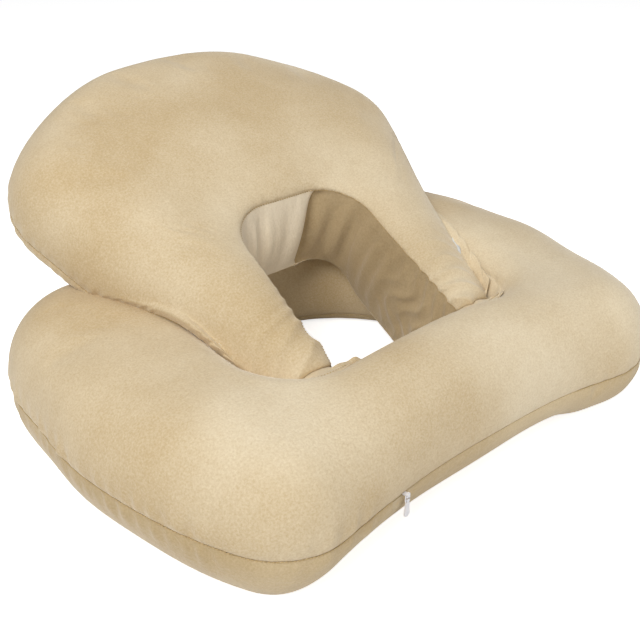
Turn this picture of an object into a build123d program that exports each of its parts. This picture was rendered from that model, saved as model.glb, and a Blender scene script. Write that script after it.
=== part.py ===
"""Two-piece nursing pillow: a ring-shaped base cushion and an arched upper cushion.

The base cushion is a low ring with a concave waist towards -Y. The upper cushion is an arch
whose two feet stand in the ring's hole. Its front edge is sewn to the front rim of the hole,
so it tips up and forward about that rim, and at rest it leans back on the rear of the ring.

Frame: millimetres, +Z up, +X along the width, -Y towards the waist. The origin lies on the
floor, under the middle of the whole pillow.
"""
import os
from math import cos, degrees, radians, sin

from build123d import *

os.makedirs("parts", exist_ok=True)

FRONT_Y = -286.1          # the lobe tips; everything along Y is set out from here

# ---- base cushion -------------------------------------------------------------------------
BASE_WIDTH = 600.0        # across both lobes
BASE_DEPTH = 416.0        # lobe tips to the back edge
BASE_HEIGHT = 132.0
BASE_BACK_RADIUS = 86.0   # plan corners at the back
BASE_LOBE_RADIUS = 67.0   # plan radius of the two lobe tips beside the waist
BASE_SIDE_RADIUS = 461.0  # long bowed sides
WAIST_RADIUS = 854.0      # concave edge that goes round the body
WAIST_CENTRE_Y = FRONT_Y - 834.4
BASE_EDGE_TOP = 44.0      # roundings in section
BASE_EDGE_BOTTOM = 40.0
BASE_SEAM_Z = 54.0        # top panel meets bottom panel

HOLE_BACK_RADIUS = 164.0  # the hole is a half-moon: round behind, parallel to the waist in front
HOLE_BACK_CENTRE_Y = FRONT_Y + 181.7
HOLE_FRONT_RADIUS = WAIST_RADIUS + 108.0
HOLE_CORNER_RADIUS = 52.0
HOLE_EDGE = 22.0
HOLE_WALL_BAND = 9.0      # the sewn-in wall of the hole turns this far under the rim

# ---- upper cushion, in its own leaning plane ------------------------------------------------
UPPER_TILT = 26.0         # lean of the front face above the floor, degrees
FOOT_Y = FRONT_Y + 139.4  # where the plane of the front face meets the feet
FOOT_Z = 109.6
FRONT_RISE = 8.0          # the front panel stands this far proud of the seam of the arch
UPPER_THICKNESS = 105.0
CROWN_RADIUS = 268.0
CROWN_TOP = 446.0         # from the feet to the top of the crown, along the lean
SHOULDER_RADIUS = 92.0
SHOULDER_HALF_WIDTH = 250.0
SHOULDER_HEIGHT = 320.0
FOOT_HALF_WIDTH = 147.0
FOOT_OVERRUN = 150.0      # the outline runs on past the feet before it is cut off square
UPPER_EDGE_TOP = 50.0
UPPER_EDGE_BOTTOM = 32.0
UPPER_SEAM_W = -53.5      # outer seam, below the plane of the front face
ARCH_HALF_WIDTH = 78.0
ARCH_HEIGHT = 181.0
ARCH_CORNER = 52.0

# ---- how the two sit together ----------------------------------------------------------------
SEAT_GAP = 0.6            # between the upper cushion and the top of the ring
HOLE_CLEARANCE = 13.0     # between the feet and the wall of the hole, so that they swing clear
HINGE_Y = FRONT_Y + 127.7
HINGE_Z = 118.0
FLAP_INNER_X = 84.0
FLAP_OUTER_X = 130.0
FLAP_THICKNESS = 1.2
FLAP_GAP = 1.6            # from the fold line to each flap

# ---- layers --------------------------------------------------------------------------------
COVER = 2.0               # velour cover
CASE_OUT = 2.2            # white inner case
CASE_IN = 3.2
FILL = 3.4                # fibre filling

# ---- concealed zips -------------------------------------------------------------------------
ZIP_HALF_LENGTH = 118.0
ZIP_TRAVEL_HALF = 104.0
SLOT_HALF = 1.6
RECESS_HALF = 11.5
RECESS_DEPTH = 9.2
TAPE_NEAR = 0.9
TAPE_FAR = 10.5
TAPE_DEPTH = 2.3
TAPE_THICKNESS = 0.6
COIL_NEAR = 0.9
COIL_FAR = 2.8
COIL_DEPTH = 3.1
COIL_THICKNESS = 2.2
SLIDER_LENGTH = 9.0
SLIDER_HALF_HEIGHT = 4.4
SLIDER_DEPTH = 8.6
STEM_HALF = 0.6
STEM_LENGTH = 3.4
LUG_OUT = 2.6             # how far the lug stands out of the cover
LUG_HALF_HEIGHT = 1.9
LUG_BORE_RADIUS = 0.75
BAIL_WIRE = 0.45          # radius of the wire
BAIL_WIDTH = 5.4
BAIL_DROP = 5.4
BAIL_CORNER = 0.7
PULL_LENGTH = 16.5
PULL_WIDTH = 6.2
PULL_THICKNESS = 1.5
PULL_HEAD_RADIUS = 1.2    # rolled head of the pull, round the foot of the bail
PULL_HEAD_LENGTH = 3.4
PULL_BORE_RADIUS = 0.75
STOP_LENGTH = 2.4


# =============================================================================================
# Whole cushions. Each takes an inset, so that cover, case and filling nest inside each other.
# =============================================================================================

def base_outline(inset):
    """Plan of the ring without its hole."""
    side_centre_x = BASE_WIDTH / 2 - BASE_SIDE_RADIUS
    side_centre_y = FRONT_Y + 0.6 * BASE_DEPTH
    back_y = FRONT_Y + BASE_DEPTH - inset
    with BuildSketch() as plan:
        with Locations((side_centre_x, side_centre_y)):
            Circle(BASE_SIDE_RADIUS - inset)
        with Locations((-side_centre_x, side_centre_y)):
            Circle(BASE_SIDE_RADIUS - inset, mode=Mode.INTERSECT)
        with Locations((0, back_y - BASE_WIDTH)):
            Rectangle(2 * BASE_WIDTH, 2 * BASE_WIDTH, mode=Mode.INTERSECT)
        with Locations((0, WAIST_CENTRE_Y)):
            Circle(WAIST_RADIUS + inset, mode=Mode.SUBTRACT)
        corners = plan.vertices().sort_by(Axis.Y)
        fillet(corners[:2], BASE_LOBE_RADIUS - inset)
        fillet(plan.vertices().group_by(Axis.Y)[-1], BASE_BACK_RADIUS - inset)
    return plan.sketch


def hole_outline(outset):
    """Plan of the hole, grown by outset."""
    with BuildSketch() as plan:
        with Locations((0, HOLE_BACK_CENTRE_Y)):
            Circle(HOLE_BACK_RADIUS + outset)
        with Locations((0, WAIST_CENTRE_Y)):
            Circle(HOLE_FRONT_RADIUS - outset, mode=Mode.SUBTRACT)
        fillet(plan.vertices(), HOLE_CORNER_RADIUS + outset)
    return plan.sketch


def base_cushion(inset):
    """The ring, with its skin moved inwards by inset."""
    with BuildPart() as ring:
        with BuildSketch(Plane.XY.offset(inset)):
            add(base_outline(inset))
        extrude(amount=BASE_HEIGHT - 2 * inset)
        fillet(ring.faces().sort_by(Axis.Z)[-1].edges(), BASE_EDGE_TOP - inset)
        fillet(ring.faces().sort_by(Axis.Z)[0].edges(), BASE_EDGE_BOTTOM - inset)
        with BuildSketch(Plane.XY.offset(inset)):
            add(hole_outline(inset))
        extrude(amount=BASE_HEIGHT - 2 * inset, mode=Mode.SUBTRACT)
        rims = [ring.faces().sort_by(Axis.Z)[i].inner_wires()[0].edges() for i in (0, -1)]
        fillet(rims[0] + rims[1], HOLE_EDGE - inset)
    return ring.part


UPPER_PLANE = Plane(
    origin=(0, FOOT_Y, FOOT_Z),
    x_dir=(1, 0, 0),
    z_dir=(0, -sin(radians(UPPER_TILT)), cos(radians(UPPER_TILT))),
)
LEAN = UPPER_PLANE.y_dir


def upper_outline(inset):
    """Outer edge of the arch, run on past its feet; the arch opening is cut separately."""
    slope = (SHOULDER_HALF_WIDTH - FOOT_HALF_WIDTH) / SHOULDER_HEIGHT
    reach = SHOULDER_HALF_WIDTH + slope * (CROWN_TOP - SHOULDER_HEIGHT)
    heel = FOOT_HALF_WIDTH - slope * FOOT_OVERRUN
    with BuildSketch() as plan:
        with BuildLine():
            Polyline(
                (-heel, -FOOT_OVERRUN),
                (heel, -FOOT_OVERRUN),
                (reach, CROWN_TOP),
                (-reach, CROWN_TOP),
                close=True,
            )
        make_face()
        with Locations((0, CROWN_TOP - CROWN_RADIUS)):
            Circle(CROWN_RADIUS, mode=Mode.INTERSECT)
        fillet(plan.vertices().filter_by(lambda v: v.Y > 0), SHOULDER_RADIUS)
        fillet(plan.vertices().group_by(Axis.Y)[0], 60)
        if inset:
            offset(amount=-inset)
    return plan.sketch


def arch_outline(outset):
    """The opening between the legs, run on past the feet."""
    top = ARCH_HEIGHT + outset
    with BuildSketch() as plan:
        with Locations((0, (top - FOOT_OVERRUN) / 2)):
            Rectangle(2 * (ARCH_HALF_WIDTH + outset), top + FOOT_OVERRUN)
        fillet(plan.vertices().group_by(Axis.Y)[-1], ARCH_CORNER + outset)
    return plan.sketch


def seat_cutter(outset):
    """All that the ring takes up: a slab to just above its top, open over most of its hole."""
    top = BASE_HEIGHT + SEAT_GAP + outset
    depth = 60.0
    with BuildPart() as slab:
        with BuildSketch(Plane.XY.offset(top)):
            with Locations((0, FRONT_Y + BASE_DEPTH / 2)):
                Rectangle(2 * BASE_WIDTH, 3 * BASE_WIDTH)
            add(hole_outline(-HOLE_CLEARANCE - outset), mode=Mode.SUBTRACT)
        extrude(amount=-top - depth)
    return slab.part


def upper_cushion(inset):
    """The arch, cut away where it rests on the ring."""
    with BuildPart() as arch:
        with BuildSketch(UPPER_PLANE.offset(FRONT_RISE - inset)):
            add(upper_outline(inset))
        extrude(amount=-(UPPER_THICKNESS - 2 * inset))
        ends = arch.faces().filter_by(Axis(UPPER_PLANE.origin, UPPER_PLANE.z_dir))
        ends = ends.sort_by(Axis(UPPER_PLANE.origin, UPPER_PLANE.z_dir))
        fillet(ends[-1].edges(), UPPER_EDGE_TOP - inset)
        ends = arch.faces().sort_by(Axis(UPPER_PLANE.origin, UPPER_PLANE.z_dir))
        fillet(ends[0].edges(), UPPER_EDGE_BOTTOM - inset)
        with BuildSketch(UPPER_PLANE.offset(2 * FRONT_RISE)):
            add(arch_outline(inset))
        extrude(amount=-2 * UPPER_THICKNESS, mode=Mode.SUBTRACT)
        foot_plane = Plane(origin=UPPER_PLANE.origin + LEAN * inset, z_dir=LEAN)
        split(bisect_by=foot_plane, keep=Keep.TOP)
        add(seat_cutter(inset), mode=Mode.SUBTRACT)
    return arch.part


base_whole = base_cushion(0)
base_cover_inside = base_cushion(COVER)
upper_whole = upper_cushion(0)
upper_cover_inside = upper_cushion(COVER)


# =============================================================================================
# Zips. Both run along an arc, so everything of a zip is a sector about the arc's centre.
# Radii grow into the waist's cushion, and shrink into the crown's.
# =============================================================================================

def sector(frame, arc_radius, inward, depth, thickness, low, high, start, end):
    """A strip along the arc: depth and thickness under the cover, low to high beside the seam.

    start and end are distances along the arc from its middle. inward is +1 where the cushion
    lies outside the arc and -1 where it lies inside. frame's z axis is the arc's axis.
    """
    near = arc_radius + inward * depth
    far = arc_radius + inward * (depth + thickness)
    inner = min(near, far)
    outer = max(near, far)
    first = degrees(start / arc_radius)
    sweep = degrees((end - start) / arc_radius)
    with BuildPart() as strip:
        with BuildSketch(frame.offset(low)):
            with BuildLine():
                outer_arc = CenterArc((0, 0), outer, 90 - first - sweep, sweep)
                inner_arc = CenterArc((0, 0), inner, 90 - first - sweep, sweep)
                Line(outer_arc @ 0, inner_arc @ 0)
                Line(outer_arc @ 1, inner_arc @ 1)
            make_face()
        extrude(amount=high - low)
    return strip.part


WAIST_FRAME = Plane(origin=(0, WAIST_CENTRE_Y, BASE_SEAM_Z), x_dir=(1, 0, 0), z_dir=(0, 0, 1))
CROWN_FRAME = Plane(
    origin=UPPER_PLANE.origin + LEAN * (CROWN_TOP - CROWN_RADIUS) + UPPER_PLANE.z_dir * UPPER_SEAM_W,
    x_dir=(1, 0, 0),
    z_dir=UPPER_PLANE.z_dir,
)


class ZipRun:
    """One zip's place: the frame of its arc, the arc's radius and which way is inwards."""

    def __init__(self, frame, radius, inward, half_length, travel_half):
        self.frame = frame
        self.radius = radius
        self.inward = inward
        self.half_length = half_length
        self.travel_half = travel_half

    def strip(self, depth, thickness, low, high, start=None, end=None):
        start = -self.half_length if start is None else start
        end = self.half_length if end is None else end
        return sector(
            self.frame, self.radius, self.inward, depth, thickness, low, high, start, end
        )

    def slot(self):
        return self.strip(-20.0, 20.0 + RECESS_DEPTH, -SLOT_HALF, SLOT_HALF)

    def recess(self, depth_from):
        reach = self.half_length + 4.0
        return self.strip(
            depth_from, RECESS_DEPTH - depth_from, -RECESS_HALF, RECESS_HALF, -reach, reach
        )

    def lug_frame(self):
        """Where the slider's lug crosses the cover: x along the arc, y along the arc's axis."""
        angle = -self.travel_half / self.radius
        local = Vector(self.radius * sin(angle), self.radius * cos(angle), 0)
        away = Vector(sin(angle), cos(angle), 0) * -self.inward
        along = Vector(cos(angle), -sin(angle), 0)
        origin = self.frame.from_local_coords(local)
        outward = self.frame.from_local_coords(local + away) - origin
        tangent = self.frame.from_local_coords(local + along) - origin
        return Plane(origin=origin, x_dir=tangent, z_dir=outward)


waist_zip = ZipRun(WAIST_FRAME, WAIST_RADIUS, 1, ZIP_HALF_LENGTH, ZIP_TRAVEL_HALF)
crown_zip = ZipRun(CROWN_FRAME, CROWN_RADIUS, -1, 92.0, 78.0)


def with_recess(layer, zip_run):
    """A layer of a cushion with the pocket that the zip lies in."""
    with BuildPart() as pocketed:
        add(layer)
        add(zip_run.recess(0.0), mode=Mode.SUBTRACT)
    return pocketed.part


def with_slot(panel, zip_run):
    """A cover panel with its share of the zip's narrow slot."""
    with BuildPart() as slotted:
        add(panel)
        add(zip_run.slot(), mode=Mode.SUBTRACT)
    return slotted.part


# =============================================================================================
# Base cushion: velour cover in three panels, white inner case, fibre filling
# =============================================================================================

SPAN = 3 * BASE_WIDTH

with BuildPart() as base_cover_hole_wall:
    add(base_whole)
    add(base_cover_inside, mode=Mode.SUBTRACT)
    with BuildSketch():
        add(hole_outline(HOLE_WALL_BAND))
    extrude(amount=BASE_HEIGHT, mode=Mode.INTERSECT)
base_cover_hole_wall.part.label = "base_cover_hole_wall"
export_step(base_cover_hole_wall.part, "parts/base_cover_hole_wall.step")

with BuildPart() as base_cover_skin:
    add(base_whole)
    add(base_cover_inside, mode=Mode.SUBTRACT)
    with BuildSketch():
        add(hole_outline(HOLE_WALL_BAND))
    extrude(amount=BASE_HEIGHT, mode=Mode.SUBTRACT)

with BuildPart() as base_cover_top_panel:
    add(base_cover_skin.part)
    split(bisect_by=Plane.XY.offset(BASE_SEAM_Z), keep=Keep.TOP)
    add(waist_zip.slot(), mode=Mode.SUBTRACT)
base_cover_top_panel.part.label = "base_cover_top_panel"
export_step(base_cover_top_panel.part, "parts/base_cover_top_panel.step")

with BuildPart() as base_cover_bottom_panel:
    add(base_cover_skin.part)
    split(bisect_by=Plane.XY.offset(BASE_SEAM_Z), keep=Keep.BOTTOM)
    add(waist_zip.slot(), mode=Mode.SUBTRACT)
base_cover_bottom_panel.part.label = "base_cover_bottom_panel"
export_step(base_cover_bottom_panel.part, "parts/base_cover_bottom_panel.step")

with BuildPart() as base_inner_case:
    add(base_cushion(CASE_OUT))
    add(base_cushion(CASE_IN), mode=Mode.SUBTRACT)
    add(waist_zip.recess(0.0), mode=Mode.SUBTRACT)
base_inner_case.part.label = "base_inner_case"
export_step(base_inner_case.part, "parts/base_inner_case.step")

with BuildPart() as base_fibre_fill:
    add(base_cushion(FILL))
    add(waist_zip.recess(0.0), mode=Mode.SUBTRACT)
base_fibre_fill.part.label = "base_fibre_fill"
export_step(base_fibre_fill.part, "parts/base_fibre_fill.step")


# =============================================================================================
# Upper cushion: front and back panels, two arch walls joined at the apex, two foot ends,
# white inner case, fibre filling
# =============================================================================================

with BuildPart() as upper_cover_shell:
    add(upper_whole)
    add(upper_cover_inside, mode=Mode.SUBTRACT)

foot_slab_top = Plane(origin=UPPER_PLANE.origin + LEAN * COVER, z_dir=LEAN)
apex_plane = Plane.YZ
seam_plane = UPPER_PLANE.offset(UPPER_SEAM_W)

with BuildPart() as foot_ends:
    add(upper_cover_shell.part)
    split(bisect_by=foot_slab_top, keep=Keep.BOTTOM)

with BuildPart() as legs_and_crown:
    add(upper_cover_shell.part)
    split(bisect_by=foot_slab_top, keep=Keep.TOP)

with BuildPart() as arch_walls:
    add(legs_and_crown.part)
    with BuildSketch(UPPER_PLANE.offset(2 * FRONT_RISE)):
        add(arch_outline(COVER))
    extrude(amount=-2 * UPPER_THICKNESS, mode=Mode.INTERSECT)

with BuildPart() as outer_panels:
    add(legs_and_crown.part)
    with BuildSketch(UPPER_PLANE.offset(2 * FRONT_RISE)):
        add(arch_outline(COVER))
    extrude(amount=-2 * UPPER_THICKNESS, mode=Mode.SUBTRACT)

with BuildPart() as upper_foot_end_left:
    add(foot_ends.part)
    split(bisect_by=apex_plane, keep=Keep.BOTTOM)
upper_foot_end_left.part.label = "upper_foot_end_left"
export_step(upper_foot_end_left.part, "parts/upper_foot_end_left.step")

with BuildPart() as upper_foot_end_right:
    add(foot_ends.part)
    split(bisect_by=apex_plane, keep=Keep.TOP)
upper_foot_end_right.part.label = "upper_foot_end_right"
export_step(upper_foot_end_right.part, "parts/upper_foot_end_right.step")

with BuildPart() as upper_arch_wall_left:
    add(arch_walls.part)
    split(bisect_by=apex_plane, keep=Keep.BOTTOM)
upper_arch_wall_left.part.label = "upper_arch_wall_left"
export_step(upper_arch_wall_left.part, "parts/upper_arch_wall_left.step")

with BuildPart() as upper_arch_wall_right:
    add(arch_walls.part)
    split(bisect_by=apex_plane, keep=Keep.TOP)
upper_arch_wall_right.part.label = "upper_arch_wall_right"
export_step(upper_arch_wall_right.part, "parts/upper_arch_wall_right.step")

with BuildPart() as upper_cover_front_panel:
    add(outer_panels.part)
    split(bisect_by=seam_plane, keep=Keep.TOP)
    add(crown_zip.slot(), mode=Mode.SUBTRACT)
upper_cover_front_panel.part.label = "upper_cover_front_panel"
export_step(upper_cover_front_panel.part, "parts/upper_cover_front_panel.step")

with BuildPart() as upper_cover_back_panel:
    add(outer_panels.part)
    split(bisect_by=seam_plane, keep=Keep.BOTTOM)
    add(crown_zip.slot(), mode=Mode.SUBTRACT)
upper_cover_back_panel.part.label = "upper_cover_back_panel"
export_step(upper_cover_back_panel.part, "parts/upper_cover_back_panel.step")

with BuildPart() as upper_inner_case:
    add(upper_cushion(CASE_OUT))
    add(upper_cushion(CASE_IN), mode=Mode.SUBTRACT)
    add(crown_zip.recess(0.0), mode=Mode.SUBTRACT)
upper_inner_case.part.label = "upper_inner_case"
export_step(upper_inner_case.part, "parts/upper_inner_case.step")

with BuildPart() as upper_fibre_fill:
    add(upper_cushion(FILL))
    add(crown_zip.recess(0.0), mode=Mode.SUBTRACT)
upper_fibre_fill.part.label = "upper_fibre_fill"
export_step(upper_fibre_fill.part, "parts/upper_fibre_fill.step")


# =============================================================================================
# Sewn hinge: on each side a tape on the rim and a flap on the foot, with the fold between them
# =============================================================================================

def hinge_strip(side, y_low, y_high):
    """A flat strip beside the fold line; side is -1 for the left foot, 1 for the right."""
    width = FLAP_OUTER_X - FLAP_INNER_X
    with BuildPart() as strip:
        with BuildSketch(Plane.XY.offset(HINGE_Z - FLAP_THICKNESS / 2)):
            with Locations((side * (FLAP_INNER_X + width / 2), (y_low + y_high) / 2)):
                Rectangle(width, y_high - y_low)
        extrude(amount=FLAP_THICKNESS)
    return strip.part


for side_name, side in (("left", -1), ("right", 1)):
    with BuildPart() as rim_tape:
        add(hinge_strip(side, HINGE_Y - 14.0, HINGE_Y - FLAP_GAP))
        add(base_whole, mode=Mode.SUBTRACT)
    rim_tape.part.label = f"hinge_rim_tape_{side_name}"
    export_step(rim_tape.part, f"parts/hinge_rim_tape_{side_name}.step")

    with BuildPart() as foot_flap:
        add(hinge_strip(side, HINGE_Y + FLAP_GAP, HINGE_Y + 20.0))
        add(upper_whole, mode=Mode.SUBTRACT)
    foot_flap.part.label = f"hinge_foot_flap_{side_name}"
    export_step(foot_flap.part, f"parts/hinge_foot_flap_{side_name}.step")


# =============================================================================================
# Zip pieces, the same for both zips
# =============================================================================================

def slider_part(run):
    """Body around the coils, a stem through the slot and a bored lug outside."""
    middle = -run.travel_half
    start = middle - SLIDER_LENGTH / 2
    end = middle + SLIDER_LENGTH / 2
    flange_low = COIL_FAR + 0.3
    plate_depth = COIL_DEPTH + COIL_THICKNESS + 0.3
    with BuildPart() as slider:
        add(run.strip(plate_depth, SLIDER_DEPTH - plate_depth,
                      -SLIDER_HALF_HEIGHT, SLIDER_HALF_HEIGHT, start, end))
        for low, high in ((-SLIDER_HALF_HEIGHT, -flange_low), (flange_low, SLIDER_HALF_HEIGHT)):
            add(run.strip(COIL_DEPTH + 0.1, plate_depth - COIL_DEPTH, low, high, start, end))
        add(run.strip(-LUG_OUT, plate_depth + LUG_OUT + 0.1, -STEM_HALF, STEM_HALF,
                      middle - STEM_LENGTH / 2, middle + STEM_LENGTH / 2))
        add(run.strip(-LUG_OUT, LUG_OUT - 0.5, -LUG_HALF_HEIGHT, LUG_HALF_HEIGHT,
                      middle - STEM_LENGTH / 2, middle + STEM_LENGTH / 2))
        lug = run.lug_frame()
        bore = Plane(origin=lug.origin + lug.z_dir * (LUG_OUT / 2 + 0.2), z_dir=lug.x_dir)
        with BuildSketch(bore.offset(-STEM_LENGTH)):
            Circle(LUG_BORE_RADIUS)
        extrude(amount=2 * STEM_LENGTH, mode=Mode.SUBTRACT)
    return slider.part


def hanging_plane(run):
    """At the lug's bore, parallel to the cover: x along the zip, y up across the seam."""
    lug = run.lug_frame()
    pivot = lug.origin + lug.z_dir * (LUG_OUT / 2 + 0.2)
    return Plane(origin=pivot, x_dir=lug.x_dir, z_dir=lug.x_dir.cross(run.frame.z_dir))


def bail_part(run):
    """Wire loop through the lug, lying flat against the cover."""
    half = BAIL_WIDTH / 2
    with BuildPart() as bail:
        with BuildLine(hanging_plane(run)) as wire:
            top = Line((-half + 1, 0), (half - 1, 0))
            FilletPolyline(
                top @ 0, (-half, 0), (-half, -BAIL_DROP), (half, -BAIL_DROP), (half, 0), top @ 1,
                radius=BAIL_CORNER,
            )
        with BuildSketch(Plane(origin=wire.edges()[0] @ 0.5, z_dir=wire.edges()[0] % 0.5)):
            Circle(BAIL_WIRE)
        sweep(path=wire.wires()[0])
    return bail.part


def pull_part(run):
    """Teardrop tab whose rolled head turns on the foot of the bail."""
    hang = hanging_plane(run)
    foot = Plane(origin=hang.from_local_coords(Vector(0, -BAIL_DROP, 0)), z_dir=hang.x_dir)
    round_end = -BAIL_DROP - PULL_LENGTH + PULL_WIDTH / 2
    with BuildPart() as pull:
        with BuildSketch(hang.offset(-PULL_THICKNESS / 2)):
            with Locations((0, -BAIL_DROP - 0.4)):
                Circle(PULL_HEAD_LENGTH / 2 - 0.2)
            with Locations((0, round_end)):
                Circle(PULL_WIDTH / 2)
            make_hull()
            with Locations((0, -BAIL_DROP + 5)):
                Rectangle(3 * PULL_WIDTH, 10, mode=Mode.SUBTRACT)
        extrude(amount=PULL_THICKNESS)
        with BuildSketch(foot.offset(-PULL_HEAD_LENGTH / 2)):
            Circle(PULL_HEAD_RADIUS)
        extrude(amount=PULL_HEAD_LENGTH)
        with BuildSketch(foot.offset(-PULL_WIDTH)):
            Circle(PULL_BORE_RADIUS)
        extrude(amount=2 * PULL_WIDTH, mode=Mode.SUBTRACT)
    return pull.part


def stop_part(run, place, half_height):
    """Metal staple across both coils at one end of the zip."""
    with BuildPart() as stop:
        add(run.strip(COIL_DEPTH + COIL_THICKNESS + 0.1, 0.8, -half_height, half_height,
                      place - STOP_LENGTH / 2, place + STOP_LENGTH / 2))
    return stop.part


for cushion_name, run in (("base", waist_zip), ("upper", crown_zip)):
    zip_nodes = {
        "zip_tape_upper": run.strip(TAPE_DEPTH, TAPE_THICKNESS, TAPE_NEAR, TAPE_FAR),
        "zip_tape_lower": run.strip(TAPE_DEPTH, TAPE_THICKNESS, -TAPE_FAR, -TAPE_NEAR),
        "zip_coil_upper": run.strip(COIL_DEPTH, COIL_THICKNESS, COIL_NEAR, COIL_FAR),
        "zip_coil_lower": run.strip(COIL_DEPTH, COIL_THICKNESS, -COIL_FAR, -COIL_NEAR),
        "zip_top_stop": stop_part(run, 2.0 - run.half_length, COIL_FAR),
        "zip_bottom_stop": stop_part(run, run.half_length - 2.0, COIL_FAR),
        "zip_slider": slider_part(run),
        "zip_bail": bail_part(run),
        "zip_pull_tab": pull_part(run),
    }
    for node, solid in zip_nodes.items():
        with BuildPart() as zip_piece:
            add(solid)
        zip_piece.part.label = f"{cushion_name}_{node}"
        export_step(zip_piece.part, f"parts/{cushion_name}_{node}.step")

for name, run in (("waist", waist_zip), ("crown", crown_zip)):
    hang = hanging_plane(run)
    print(name, "zip axis through", run.frame.origin, "along", run.frame.z_dir)
    print(name, "travel, degrees", degrees(2 * run.travel_half / run.radius))
    print(name, "bail pivot", hang.origin, "axis", hang.x_dir)
    print(name, "pull pivot", hang.from_local_coords(Vector(0, -BAIL_DROP, 0)))
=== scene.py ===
"""Two-piece nursing pillow: ring-shaped base cushion and arched upper cushion, in velour."""

import bmesh
import bpy
import numpy as np
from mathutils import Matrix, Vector


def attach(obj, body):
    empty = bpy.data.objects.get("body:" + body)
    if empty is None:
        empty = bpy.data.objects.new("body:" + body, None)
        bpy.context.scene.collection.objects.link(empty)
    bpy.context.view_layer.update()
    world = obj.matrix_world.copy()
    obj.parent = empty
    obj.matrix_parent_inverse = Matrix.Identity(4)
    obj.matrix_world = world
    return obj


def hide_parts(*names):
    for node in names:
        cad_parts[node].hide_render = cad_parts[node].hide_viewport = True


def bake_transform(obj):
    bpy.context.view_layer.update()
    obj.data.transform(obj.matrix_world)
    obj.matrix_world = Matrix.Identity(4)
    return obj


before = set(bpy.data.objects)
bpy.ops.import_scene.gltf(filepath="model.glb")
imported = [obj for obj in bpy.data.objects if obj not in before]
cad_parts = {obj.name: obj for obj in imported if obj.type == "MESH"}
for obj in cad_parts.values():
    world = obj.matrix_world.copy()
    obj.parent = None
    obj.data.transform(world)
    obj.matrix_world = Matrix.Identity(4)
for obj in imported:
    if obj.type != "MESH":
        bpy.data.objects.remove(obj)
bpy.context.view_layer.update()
bpy.ops.object.select_all(action="DESELECT")
MM = 0.001

# =============================================================================================
# View and light. The pillow is looked at from the front left and a little above. A broad soft
# lamp stands to the left, with weaker ones above and in front, over a plain white floor.
# =============================================================================================
CAMERA_AT = Vector((-453.6, -592.3, 477.3)) * MM
CAMERA_BACK = Vector((-0.5519, -0.6719, 0.4940))
bpy.ops.object.camera_add(location=CAMERA_AT)
camera = bpy.context.object
camera.name = "camera"
camera.rotation_euler = CAMERA_BACK.to_track_quat("Z", "Y").to_euler()
camera.data.sensor_width = 36
camera.data.lens = 36 * 788 / 640
bpy.context.scene.camera = camera


def soft_lamp(name, at, size, watts):
    """A square softbox turned towards the pillow."""
    bpy.ops.object.light_add(type="AREA", location=at)
    lamp = bpy.context.object
    lamp.name = name
    lamp.data.shape = "SQUARE"
    lamp.data.size = size
    lamp.data.energy = watts
    aim = Vector((0, 0, 0.12)) - Vector(at)
    lamp.rotation_euler = (-aim).to_track_quat("Z", "Y").to_euler()


soft_lamp("key_lamp", (-1.3, -0.6, 1.6), 0.9, 26)
soft_lamp("top_lamp", (0.1, 0.4, 2.1), 1.8, 10)
soft_lamp("fill_lamp", (0.9, -1.9, 0.7), 1.4, 12)

bpy.ops.mesh.primitive_plane_add(size=40, location=(0, 0, -0.0005))
floor = bpy.context.object
floor.name = "floor"
floor_paint = bpy.data.materials.new("pale_floor")
floor_paint.use_nodes = True
floor_nodes, floor_links = floor_paint.node_tree.nodes, floor_paint.node_tree.links
paint = floor_nodes["Principled BSDF"]
paint.inputs["Base Color"].default_value = (0.9, 0.9, 0.9, 1)
paint.inputs["Roughness"].default_value = 0.9
seen = floor_nodes.new("ShaderNodeLightPath")
glow = floor_nodes.new("ShaderNodeEmission")
glow.inputs["Color"].default_value = (1, 1, 1, 1)
glow.inputs["Strength"].default_value = 0.75
lit = floor_nodes.new("ShaderNodeMixShader")
both = floor_nodes.new("ShaderNodeAddShader")
floor_links.new(paint.outputs["BSDF"], both.inputs[0])
floor_links.new(glow.outputs["Emission"], both.inputs[1])
floor_links.new(seen.outputs["Is Camera Ray"], lit.inputs["Fac"])
floor_links.new(paint.outputs["BSDF"], lit.inputs[1])
floor_links.new(both.outputs["Shader"], lit.inputs[2])
floor_links.new(lit.outputs["Shader"], floor_nodes["Material Output"].inputs["Surface"])
floor.data.materials.append(floor_paint)

sky = bpy.data.worlds.new("pale_room")
bpy.context.scene.world = sky
sky.use_nodes = True
sky_nodes, sky_links = sky.node_tree.nodes, sky.node_tree.links
sky_nodes["Background"].inputs["Color"].default_value = (1, 1, 1, 1)
sky_path = sky_nodes.new("ShaderNodeLightPath")
sky_power = sky_nodes.new("ShaderNodeMath")
sky_power.operation = "MULTIPLY_ADD"
sky_power.inputs[1].default_value = 0.8
sky_power.inputs[2].default_value = 0.2
sky_links.new(sky_path.outputs["Is Camera Ray"], sky_power.inputs[0])
sky_links.new(sky_power.outputs["Value"], sky_nodes["Background"].inputs["Strength"])
bpy.context.scene.view_settings.view_transform = "Standard"

# =============================================================================================
# Base cushion. A ring of velour stuffed with fibre: a domed top panel and a shallower bottom
# panel meet in one seam low on the outside, and a third panel is sewn in as the hole's wall.
# =============================================================================================
FRONT_Y = -286.1
WAIST_CENTRE = np.array((0, FRONT_Y - 834.4))
WAIST_RADIUS = 854.0
SIDE_CENTRE = np.array((-161.0, FRONT_Y + 249.6))
SIDE_RADIUS = 461.0
BACK_Y = FRONT_Y + 416.0
BACK_CORNER = 86.0
LOBE_CORNER = 67.0
HOLE_CENTRE = np.array((0, FRONT_Y + 181.7))
HOLE_RADIUS = 164.0
HOLE_FRONT_RADIUS = 962.0
HOLE_CORNER = 52.0
HOLE_SQUEEZE = 0.87
BASE_TOP = 133.0
OUTLINE_STEP = 2.0


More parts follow.
